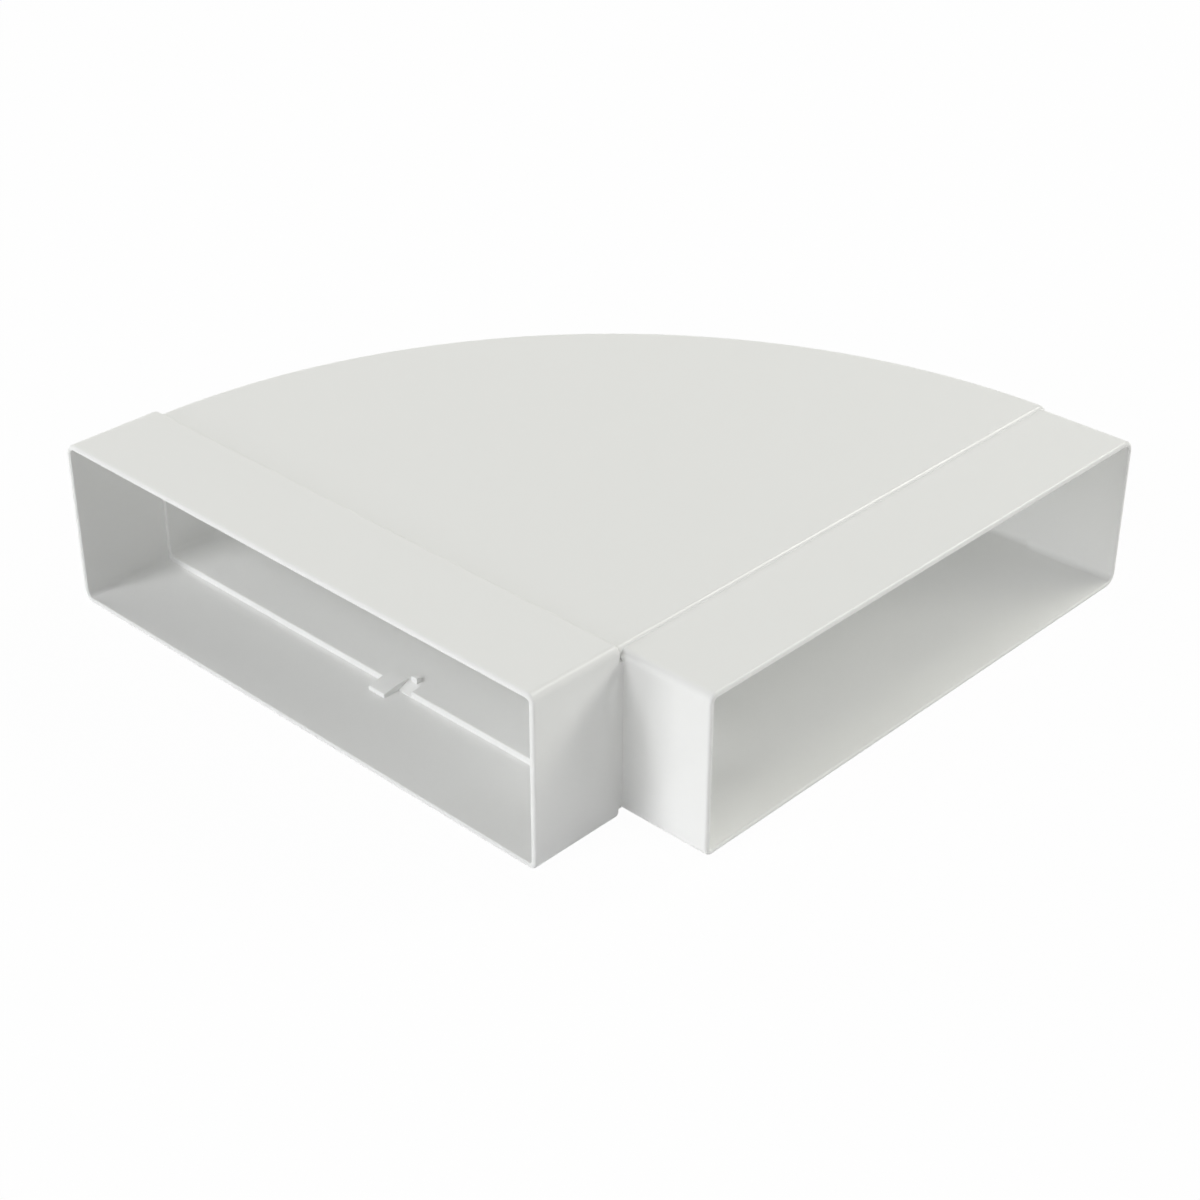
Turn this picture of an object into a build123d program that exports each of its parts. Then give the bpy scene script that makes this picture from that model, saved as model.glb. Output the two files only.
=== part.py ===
from build123d import *
import os

# Flat duct horizontal bend: one moulded shell that turns a flat rectangular duct run by a right angle.
# A socket takes the next duct at one end and a spigot goes into the next socket at the other.
# The part stands on the socket's lower face, +Z up. The spigot points along +X and the socket along -Y.

# Bore, the size that the duct run is known by, which goes through the turn and the spigot
BORE_WIDTH = 220.0
BORE_HEIGHT = 55.0

# Wall of the socket and of the spigot
WALL = 2.0

# Spigot: its length, and how far the thicker body stands proud of it on each side
SPIGOT_LENGTH = 36.0
SPIGOT_STEP = 0.9

# Socket: its depth down to the stop ledge and the play round a spigot
SOCKET_DEPTH = 36.0
SLIDE_GAP = 0.3

# Thick ring where the wall steps from one section to the next
SHOULDER = 1.2

# Corners of the section inside and outside: crisp on the bend's inner side, softer on the curved wall's side
NEAR_CORNER = 1.0
NEAR_ROUND = 3.0
FAR_CORNER = 2.5
FAR_ROUND = 5.0

# Tongue on the socket floor that ramps up to the ledge and on to it, off the middle of the opening
TONGUE_WIDTH = 7.8
TONGUE_LENGTH = 11.0
TONGUE_REACH = 6.5
TONGUE_FRONT = 1.5
TONGUE_RISE = 0.3
TONGUE_OFFSET = 9.5
TONGUE_EDGE = 0.5

# Notch that slopes up through the ledge beside the tongue
NOTCH_WIDTH = 6.4
NOTCH_LENGTH = 4.6
NOTCH_FOOT = 0.3

# Nub on the bore's floor behind the notch
NUB_WIDTH = 3.0
NUB_LENGTH = 2.0
NUB_HEIGHT = 2.0
NUB_OFFSET = 6.6

# Edge rounding of the mouths and the outer steps, and the small bevel of the edges inside
RIM_ROUND = 1.0
RIM_BEVEL = 0.4
SOCKET_EDGE = 1.3
BODY_EDGE = 2.0
LEDGE_BEVEL = 0.3

# Sections that follow from the sizes above: outside of each region and the socket's bore
spigot_width = BORE_WIDTH + 2 * WALL
spigot_height = BORE_HEIGHT + 2 * WALL
body_wall = WALL + SPIGOT_STEP
body_width = BORE_WIDTH + 2 * body_wall
body_height = BORE_HEIGHT + 2 * body_wall
socket_bore_width = spigot_width + 2 * SLIDE_GAP
socket_bore_height = spigot_height + 2 * SLIDE_GAP
socket_width = socket_bore_width + 2 * WALL
socket_height = socket_bore_height + 2 * WALL

# The inner corner of the bend is the centre of the quarter disc, and each end's centre line is half a body away
centre_line = body_width / 2
sleeve_length = SOCKET_DEPTH + SHOULDER


def along_y(start, width, height, near, far, length):
    """Rounded bar of the socket's end, from the plane y = start towards +Y."""
    section = Rectangle(width, height)
    section = fillet(section.vertices().group_by(Axis.X)[0], far)
    section = fillet(section.vertices().group_by(Axis.X)[-1], near)
    plane = Plane(origin=(-centre_line, start, 0), x_dir=(1, 0, 0), z_dir=(0, 1, 0))
    return extrude(plane * section, length)


def along_x(start, width, height, near, far, length):
    """Rounded bar of the spigot's end, from the plane x = start towards +X."""
    section = Rectangle(width, height)
    section = fillet(section.vertices().group_by(Axis.X)[0], near)
    section = fillet(section.vertices().group_by(Axis.X)[-1], far)
    plane = Plane(origin=(start, centre_line, 0), x_dir=(0, 1, 0), z_dir=(1, 0, 0))
    return extrude(plane * section, length)


def quarter_disc(radius, height, corner):
    """Quarter turn about the inner corner, with a rounded rim."""
    profile = Pos(-radius / 2, 0) * Rectangle(radius, height)
    profile = fillet(profile.vertices().group_by(Axis.X)[0], corner)
    return revolve(Plane.XZ * profile, Axis((0, 0, 0), (0, 0, -1)), 90)


def inner_corner():
    """Block that closes the groove between the sleeve's end and the spigot's inner side."""
    left, right = -body_wall / 2, (socket_width - body_width) / 2
    front, back = -2 * SOCKET_EDGE, SPIGOT_STEP + WALL / 2
    block = Box(right - left, back - front, spigot_height - 2 * NEAR_ROUND)
    return Pos((left + right) / 2, (front + back) / 2, 0) * block


def outside():
    """The bend as if it were filled: sleeve, quarter disc, spigot and the inner corner between them."""
    sleeve = along_y(-sleeve_length, socket_width, socket_height, NEAR_ROUND, FAR_ROUND, sleeve_length)
    sleeve = fillet(sleeve.faces().sort_by(Axis.Y)[-1].edges(), SOCKET_EDGE)
    sleeve = fillet(sleeve.faces().sort_by(Axis.Y)[0].edges(), RIM_ROUND)
    body = quarter_disc(body_width, body_height, FAR_ROUND)
    end_loop = body.faces().sort_by(Axis.X)[-1].edges()
    body = fillet(end_loop.sort_by(Axis.Y)[1:], BODY_EDGE)
    spigot = along_x(-SHOULDER, spigot_width, spigot_height, NEAR_ROUND, FAR_ROUND, SHOULDER + SPIGOT_LENGTH)
    spigot = fillet(spigot.faces().sort_by(Axis.X)[-1].edges(), RIM_ROUND)
    return sleeve + body + spigot + inner_corner()


def inside():
    """The air path: socket bore, the turn round a post at the inner corner and the spigot's bore.

    The curved wall is as thin as the two ends, so the turn is a little wider than the bore there."""
    mouth = along_y(-sleeve_length, socket_bore_width, socket_bore_height, NEAR_CORNER, FAR_CORNER, SOCKET_DEPTH)
    neck = along_y(-SHOULDER, BORE_WIDTH, BORE_HEIGHT, NEAR_CORNER, FAR_CORNER, SHOULDER)
    neck += Pos(-SPIGOT_STEP, 0, 0) * neck
    turn = quarter_disc(body_width - WALL, BORE_HEIGHT, FAR_CORNER)
    turn -= Pos(-body_wall / 2, body_wall / 2, 0) * Box(body_wall, body_wall, BORE_HEIGHT)
    bore = along_x(0, BORE_WIDTH, BORE_HEIGHT, NEAR_CORNER, FAR_CORNER, SPIGOT_LENGTH)
    return mouth + neck + turn + bore


def latch(shell):
    """The shell with the tongue in its socket, the notch beside it and the nub behind the notch."""
    bore_floor = -BORE_HEIGHT / 2
    socket_floor = -socket_bore_height / 2
    tongue_x = -centre_line + TONGUE_OFFSET
    notch_x = tongue_x + (TONGUE_WIDTH + NOTCH_WIDTH) / 2
    notch_front, notch_back = -SHOULDER - LEDGE_BEVEL, -SHOULDER + NOTCH_LENGTH
    slope = Polyline((notch_front, socket_floor + NOTCH_FOOT), (notch_back, bore_floor), (notch_back, bore_floor + WALL),
                     (notch_front, bore_floor + WALL), close=True)
    shell -= Pos(notch_x, 0, 0) * extrude(Plane.YZ * make_face(slope), NOTCH_WIDTH / 2, both=True)
    front = -SHOULDER - TONGUE_REACH
    back = front + TONGUE_LENGTH
    root = socket_floor - WALL / 2
    crest = bore_floor + TONGUE_RISE
    ramp = Polyline((front, root), (front, socket_floor + TONGUE_FRONT), (-SHOULDER, crest), (back, crest), (back, root),
                    close=True)
    tongue = extrude(Plane.YZ * make_face(ramp), TONGUE_WIDTH / 2, both=True)
    upper = tongue.edges().filter_by(Axis.X).group_by(Axis.Z)[1:]
    tongue = fillet([edge for level in upper for edge in level if edge.center().Y < -SHOULDER - LEDGE_BEVEL], TONGUE_EDGE)
    shell += Pos(tongue_x, 0, 0) * tongue
    nub = Box(NUB_WIDTH, NUB_LENGTH, 2 * NUB_HEIGHT)
    nub = fillet(nub.faces().sort_by(Axis.Z)[-1].edges(), TONGUE_EDGE)
    return shell + Pos(tongue_x + NUB_OFFSET, notch_back + NUB_LENGTH / 2, bore_floor) * nub


def duct_bend():
    """The moulded shell, with its mouths and ledge eased, standing on the floor about its own middle."""
    shell = outside() - inside()
    ledge = shell.faces().filter_by(Axis.Y).sort_by(Axis.Y)[1]
    shell = chamfer(ledge.inner_wires()[0].edges(), LEDGE_BEVEL)
    socket_rim = shell.faces().sort_by(Axis.Y)[0]
    shell = chamfer(socket_rim.inner_wires()[0].edges(), RIM_BEVEL)
    spigot_rim = shell.faces().sort_by(Axis.X)[-1]
    shell = chamfer(spigot_rim.inner_wires()[0].edges(), RIM_BEVEL)
    shell = latch(shell)
    middle_x = (SPIGOT_LENGTH - centre_line - socket_width / 2) / 2
    middle_y = (body_width - sleeve_length) / 2
    return Pos(-middle_x, -middle_y, socket_height / 2) * shell


os.makedirs("parts", exist_ok=True)
export_step(duct_bend(), "parts/duct_bend.step")
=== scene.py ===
"""Finish and stage the flat duct bend: satin moulded plastic on a plain white studio floor."""

from math import cos, radians, sin

import bpy
from bpy.props import FloatProperty, FloatVectorProperty, IntProperty, PointerProperty
from bpy.types import Operator, Panel, PropertyGroup
from mathutils import Matrix, Vector


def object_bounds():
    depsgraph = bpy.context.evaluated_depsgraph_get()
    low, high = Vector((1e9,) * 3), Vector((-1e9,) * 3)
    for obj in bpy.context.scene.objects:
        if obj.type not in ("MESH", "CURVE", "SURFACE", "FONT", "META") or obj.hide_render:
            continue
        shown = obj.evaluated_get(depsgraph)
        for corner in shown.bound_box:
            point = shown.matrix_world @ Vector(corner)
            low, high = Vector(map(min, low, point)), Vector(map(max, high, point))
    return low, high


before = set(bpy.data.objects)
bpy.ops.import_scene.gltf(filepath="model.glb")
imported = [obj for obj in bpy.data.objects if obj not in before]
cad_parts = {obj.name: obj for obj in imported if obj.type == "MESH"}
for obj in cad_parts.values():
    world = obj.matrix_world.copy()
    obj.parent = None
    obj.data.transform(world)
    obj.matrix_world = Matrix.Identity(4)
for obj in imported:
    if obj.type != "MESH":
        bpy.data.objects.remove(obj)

bl_info = {
    "name": "Flat Duct Bend",
    "version": (1, 0, 0),
    "blender": (4, 5, 0),
    "location": "View3D > Sidebar > Duct Bend",
    "description": "Finishes the moulded duct bend and sets up its studio stage",
    "category": "Object",
}

MOULDING = "duct_bend"
CAD_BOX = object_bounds()

# Middle of the part's box, which the lamps face
MIDDLE = (CAD_BOX[0] + CAD_BOX[1]) / 2

# Vertices of the moulding that lie closer than this are one point
WELD_DISTANCE = 0.000002

# How finely the mottling, the flow marks and the tool grain break up
MOTTLE_DETAIL = 7.0
MOTTLE_BREAKUP = 0.8
FLOW_DETAIL = 2.0
GRAIN_DETAIL = 1.0

# Light spreads equally far inside the plastic in red, green and blue
GLOW_BALANCE = (1.0, 1.0, 1.0)

# Plain white of the background, and of the floor where the camera sees it
WHITE = (1.0, 1.0, 1.0, 1.0)

# Width of the camera's sensor in millimetres, and the nearest distance it sees in metres
SENSOR_WIDTH = 36.0
NEAR_CLIP = 0.01

# Light of the lamps in front and on the right, a little cooler, and of those on the left and behind, warmer
COOL = (0.988, 0.994, 1.0)
WARM = (1.0, 1.0, 0.92)

# Lamps: name, azimuth and elevation seen from the part in degrees, width and height in metres, watts,
# light, and whether the skin reflects the lamp, as it does only the one that lights the body's step
LAMPS = (
    ("front_low_lamp", -19, 6, 1.0, 0.8, 28.5, COOL, False),
    ("front_high_lamp", -12, 38, 1.0, 1.0, 34.0, COOL, False),
    ("front_right_lamp", 25, 20, 1.0, 1.0, 10.0, COOL, False),
    ("left_lamp", -90, 25, 1.0, 1.0, 27.0, WARM, False),
    ("right_lamp", 90, 50, 2.0, 2.0, 9.0, COOL, False),
    ("side_lamp", 123, 23, 1.0, 1.0, 13.0, COOL, False),
    ("back_lamp", 145, 29, 1.0, 1.0, 20.0, WARM, False),
    ("step_lamp", 165, 44, 0.8, 1.0, 29.0, WARM, True),
)


class MouldingSettings(PropertyGroup):
    """Finish of the moulded plastic."""

    plastic_colour: FloatVectorProperty(
        name="Plastic colour", description="Off-white of the moulding", subtype="COLOR",
        size=3, min=0.0, max=1.0, default=(0.900, 0.902, 0.895))
    mottle_colour: FloatVectorProperty(
        name="Mottle colour", description="Slightly deeper tone of the soft mottling", subtype="COLOR",
        size=3, min=0.0, max=1.0, default=(0.889, 0.891, 0.883))
    mottle_size: FloatProperty(
        name="Mottle size", description="Breadth of the soft mottling", unit="LENGTH",
        min=0.005, default=0.06)
    roughness: FloatProperty(
        name="Roughness", description="Mean roughness of the satin skin", subtype="FACTOR",
        min=0.0, max=1.0, default=0.32)
    roughness_spread: FloatProperty(
        name="Roughness spread", description="How far the flow marks move the roughness", subtype="FACTOR",
        min=0.0, max=0.3, default=0.04)
    sheen_level: FloatProperty(
        name="Sheen level", description="Strength of the skin's reflections", subtype="FACTOR",
        min=0.0, max=1.0, default=0.55)
    grain_size: FloatProperty(
        name="Grain size", description="Breadth of the fine tool texture", unit="LENGTH",
        min=0.0001, default=0.0005)
    grain_depth: FloatProperty(
        name="Grain depth", description="Depth of the fine tool texture", unit="LENGTH",
        min=0.0, default=0.000006)
    ripple_size: FloatProperty(
        name="Ripple size", description="Breadth of the slow waves in the flat walls", unit="LENGTH",
        min=0.005, default=0.045)
    ripple_depth: FloatProperty(
        name="Ripple depth", description="Depth of the slow waves in the flat walls", unit="LENGTH",
        min=0.0, default=0.00004)
    glow_weight: FloatProperty(
        name="Glow weight", description="Share of the light that spreads inside the thin walls",
        subtype="FACTOR", min=0.0, max=1.0, default=0.15)
    glow_depth: FloatProperty(
        name="Glow depth", description="How far light spreads inside the plastic", unit="LENGTH",
        min=0.0, default=0.002)
    crease_angle: FloatProperty(
        name="Crease angle", description="Edges that turn by more than this stay sharp", subtype="ANGLE",
        default=radians(35))


class StageSettings(PropertyGroup):
    """Camera, lamps and floor of the studio."""

    azimuth: FloatProperty(
        name="Camera azimuth", description="Turn of the camera about the part", subtype="ANGLE",
        default=radians(43.51))
    elevation: FloatProperty(
        name="Camera elevation", description="Downward tilt of the camera", subtype="ANGLE",
        default=radians(31.45))
    roll: FloatProperty(
        name="Camera roll", description="Turn of the camera about its own line of sight", subtype="ANGLE",
        default=radians(0.11))
    camera_place: FloatVectorProperty(
        name="Camera place", description="Where the camera stands", subtype="TRANSLATION", unit="LENGTH",
        size=3, default=(0.4868, -0.5142, 0.4302))
    lens: FloatProperty(
        name="Lens", description="Focal length of the camera", unit="CAMERA", default=68.75)
    floor_colour: FloatVectorProperty(
        name="Floor colour", description="Paint of the floor", subtype="COLOR",
        size=3, min=0.0, max=1.0, default=(0.86, 0.86, 0.86))
    floor_glow: FloatProperty(
        name="Floor glow", description="Share of plain white in what the camera sees of the floor",
        subtype="FACTOR", min=0.0, max=1.0, default=0.975)
    floor_size: FloatProperty(
        name="Floor size", description="Side of the floor", unit="LENGTH", default=12.0)
    lamp_distance: FloatProperty(
        name="Lamp distance", description="How far the lamps stand from the part", unit="LENGTH",
        default=3.2)
    light_bounces: IntProperty(
        name="Light bounces", description="How often light may bounce between the pale walls",
        min=0, default=12)
    sky_colour: FloatVectorProperty(
        name="Sky colour", description="Tint of the light from all round", subtype="COLOR",
        size=3, min=0.0, max=1.0, default=(1.0, 1.0, 1.0))
    sky_strength: FloatProperty(
        name="Sky strength", description="Light from all round", min=0.0, default=0.02)


def new_node(nodes, kind, place, **values):
    """A shader node at a place on the sheet, with its named inputs set."""
    node = nodes.new(kind)
    node.location = place
    for name, value in values.items():
        node.inputs[name.replace("_", " ")].default_value = value
    return node


def new_material(name):
    """An empty node material, its node tree and its output node."""
    material = bpy.data.materials.new(name)
    material.use_nodes = True
    tree = material.node_tree
    tree.nodes.clear()
    output = new_node(tree.nodes, "ShaderNodeOutputMaterial", (900, 0))
    return material, tree, output


def satin_plastic(settings):
    """Off-white satin plastic: soft mottling, faint flow marks and a fine tool grain."""
    material, tree, output = new_material("Satin moulded plastic")
    nodes = tree.nodes
    link = tree.links.new
    place = new_node(nodes, "ShaderNodeTexCoord", (-1100, 0))
    mottle = new_node(nodes, "ShaderNodeTexNoise", (-800, 300), Scale=1 / settings.mottle_size,
                      Detail=MOTTLE_DETAIL, Roughness=MOTTLE_BREAKUP)
    tint = new_node(nodes, "ShaderNodeMix", (-250, 300))
    tint.data_type = "RGBA"
    tint.inputs["A"].default_value = (*settings.plastic_colour, 1.0)
    tint.inputs["B"].default_value = (*settings.mottle_colour, 1.0)
    flow = new_node(nodes, "ShaderNodeTexNoise", (-800, 0), Scale=1 / settings.ripple_size,
                    Detail=FLOW_DETAIL)
    gloss = new_node(nodes, "ShaderNodeMapRange", (-250, 0))
    gloss.inputs["To Min"].default_value = settings.roughness - settings.roughness_spread
    gloss.inputs["To Max"].default_value = settings.roughness + settings.roughness_spread
    grain = new_node(nodes, "ShaderNodeTexNoise", (-800, -300), Scale=1 / settings.grain_size,
                     Detail=GRAIN_DETAIL)
    ripple = new_node(nodes, "ShaderNodeBump", (-250, -250), Strength=1.0, Distance=settings.ripple_depth)
    skin = new_node(nodes, "ShaderNodeBump", (150, -250), Strength=1.0, Distance=settings.grain_depth)
    shader = new_node(nodes, "ShaderNodeBsdfPrincipled", (500, 0), Specular_IOR_Level=settings.sheen_level,
                      Subsurface_Weight=settings.glow_weight, Subsurface_Radius=GLOW_BALANCE,
                      Subsurface_Scale=settings.glow_depth)
    for texture in (mottle, flow, grain):
        link(place.outputs["Object"], texture.inputs["Vector"])
    link(mottle.outputs["Fac"], tint.inputs["Factor"])
    link(flow.outputs["Fac"], gloss.inputs["Value"])
    link(flow.outputs["Fac"], ripple.inputs["Height"])
    link(grain.outputs["Fac"], skin.inputs["Height"])
    link(ripple.outputs["Normal"], skin.inputs["Normal"])
    link(tint.outputs["Result"], shader.inputs["Base Color"])
    link(gloss.outputs["Result"], shader.inputs["Roughness"])
    link(skin.outputs["Normal"], shader.inputs["Normal"])
    link(shader.outputs["BSDF"], output.inputs["Surface"])
    return material


def camera_rays(nodes, links):
    """Output that is 1 for what the camera sees, also in a reflection or through glass."""
    path = new_node(nodes, "ShaderNodeLightPath", (-600, 300))
    seen = path.outputs["Is Camera Ray"]
    for step, ray in enumerate(("Is Glossy Ray", "Is Transmission Ray")):
        either = new_node(nodes, "ShaderNodeMath", (-350 + 200 * step, 300))
        either.operation = "MAXIMUM"
        links.new(seen, either.inputs[0])
        links.new(path.outputs[ray], either.inputs[1])
        seen = either.outputs["Value"]
    return seen


def floor_paint(settings):
    """Floor that is nearly plain white where the camera sees it and keeps a faint shadow there."""
    material, tree, output = new_material("White studio floor")
    nodes = tree.nodes
    link = tree.links.new
    paint = new_node(nodes, "ShaderNodeBsdfDiffuse", (200, 0), Color=(*settings.floor_colour, 1.0))
    glow = new_node(nodes, "ShaderNodeEmission", (200, -200), Color=WHITE, Strength=1.0)
    share = new_node(nodes, "ShaderNodeMath", (200, 300))
    share.operation = "MULTIPLY"
    share.inputs[1].default_value = settings.floor_glow
    blend = new_node(nodes, "ShaderNodeMixShader", (550, 0))
    link(camera_rays(nodes, tree.links), share.inputs[0])
    link(share.outputs["Value"], blend.inputs["Fac"])
    link(paint.outputs["BSDF"], blend.inputs[1])
    link(glow.outputs["Emission"], blend.inputs[2])
    link(blend.outputs["Shader"], output.inputs["Surface"])
    return material


def set_sky(settings):
    """Even light from all round, white where the camera sees it."""
    world = bpy.data.worlds.new("Studio sky")
    world.use_nodes = True
    bpy.context.scene.world = world
    tree = world.node_tree
    nodes = tree.nodes
    nodes.clear()
    link = tree.links.new
    light = new_node(nodes, "ShaderNodeBackground", (200, 0), Color=(*settings.sky_colour, 1.0),
                     Strength=settings.sky_strength)
    white = new_node(nodes, "ShaderNodeBackground", (200, -200), Color=WHITE, Strength=1.0)
    blend = new_node(nodes, "ShaderNodeMixShader", (550, 0))
    output = new_node(nodes, "ShaderNodeOutputWorld", (900, 0))
    link(camera_rays(nodes, tree.links), blend.inputs["Fac"])
    link(light.outputs["Background"], blend.inputs[1])
    link(white.outputs["Background"], blend.inputs[2])
    link(blend.outputs["Shader"], output.inputs["Surface"])


def lay_floor(settings):
    """Floor plane under the part."""
    bpy.ops.mesh.primitive_plane_add(size=settings.floor_size, location=(0.0, 0.0, CAD_BOX[0].z))
    floor = bpy.context.object
    floor.name = "studio_floor"
    floor.data.materials.append(floor_paint(settings))


def hang_lamp(settings, name, azimuth, elevation, width, height, watts, light, shows):
    """Soft box that faces the middle of the part and is never seen by the camera itself."""
    around, above = radians(azimuth), radians(elevation)
    towards = Vector((sin(around) * cos(above), -cos(around) * cos(above), sin(above)))
    bpy.ops.object.light_add(type="AREA", location=MIDDLE + towards * settings.lamp_distance)
    lamp = bpy.context.object
    lamp.name = name
    lamp.rotation_euler = towards.to_track_quat("Z", "Y").to_euler()
    lamp.visible_camera = False
    lamp.visible_glossy = shows
    lamp.data.shape = "RECTANGLE"
    lamp.data.size = width
    lamp.data.size_y = height
    lamp.data.energy = watts
    lamp.data.color = light


def set_camera(settings):
    """Camera at the photograph's angle."""
    bpy.ops.object.camera_add()
    camera = bpy.context.object
    camera.name = "studio_camera"
    turn = Matrix.Rotation(settings.azimuth, 4, "Z")
    tilt = Matrix.Rotation(radians(90) - settings.elevation, 4, "X")
    roll = Matrix.Rotation(settings.roll, 4, "Z")
    camera.matrix_world = Matrix.Translation(settings.camera_place) @ turn @ tilt @ roll
    camera.data.sensor_width = SENSOR_WIDTH
    camera.data.lens = settings.lens
    camera.data.clip_start = NEAR_CLIP
    bpy.context.scene.camera = camera


class DUCT_OT_finish_moulding(Operator):
    """Smooth the moulding's curved faces and give it its satin plastic"""

    bl_idname = "duct.finish_moulding"
    bl_label = "Finish the moulding"

    def execute(self, context):
        settings = context.scene.duct_moulding
        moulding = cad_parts[MOULDING]
        moulding.data.materials.clear()
        moulding.data.materials.append(satin_plastic(settings))
        moulding.data.polygons.foreach_set("use_smooth", [True] * len(moulding.data.polygons))
        weld = moulding.modifiers.new("Join the faces", "WELD")
        weld.merge_threshold = WELD_DISTANCE
        crease = moulding.modifiers.new("Keep the creases", "EDGE_SPLIT")
        crease.split_angle = settings.crease_angle
        even = moulding.modifiers.new("Even the flat faces", "WEIGHTED_NORMAL")
        even.keep_sharp = True
        return {"FINISHED"}


class DUCT_OT_set_stage(Operator):
    """Lay the floor, hang the lamps and set the camera"""

    bl_idname = "duct.set_stage"
    bl_label = "Set the stage"

    def execute(self, context):
        settings = context.scene.duct_stage
        bpy.ops.object.select_all(action="DESELECT")
        lay_floor(settings)
        for lamp in LAMPS:
            hang_lamp(settings, *lamp)
        set_sky(settings)
        set_camera(settings)
        context.scene.cycles.diffuse_bounces = settings.light_bounces
        context.scene.view_settings.view_transform = "Standard"
        return {"FINISHED"}


class DUCT_PT_sidebar(Panel):
    """Sidebar page of the duct bend"""

    bl_idname = "DUCT_PT_sidebar"
    bl_label = "Duct Bend"
    bl_space_type = "VIEW_3D"
    bl_region_type = "UI"
    bl_category = "Duct Bend"

    def draw(self, context):
        for settings, operator in (
            (context.scene.duct_moulding, DUCT_OT_finish_moulding.bl_idname),
            (context.scene.duct_stage, DUCT_OT_set_stage.bl_idname),
        ):
            column = self.layout.column()
            for name in settings.__annotations__:
                column.prop(settings, name)
            column.operator(operator)


CLASSES = (MouldingSettings, StageSettings, DUCT_OT_finish_moulding, DUCT_OT_set_stage, DUCT_PT_sidebar)


def register():
    for kind in CLASSES:
        bpy.utils.register_class(kind)
    bpy.types.Scene.duct_moulding = PointerProperty(type=MouldingSettings)
    bpy.types.Scene.duct_stage = PointerProperty(type=StageSettings)


def unregister():
    del bpy.types.Scene.duct_stage
    del bpy.types.Scene.duct_moulding
    for kind in reversed(CLASSES):
        bpy.utils.unregister_class(kind)


def main():
    register()
    bpy.ops.duct.finish_moulding()
    bpy.ops.duct.set_stage()


if __name__ == "__main__":
    main()
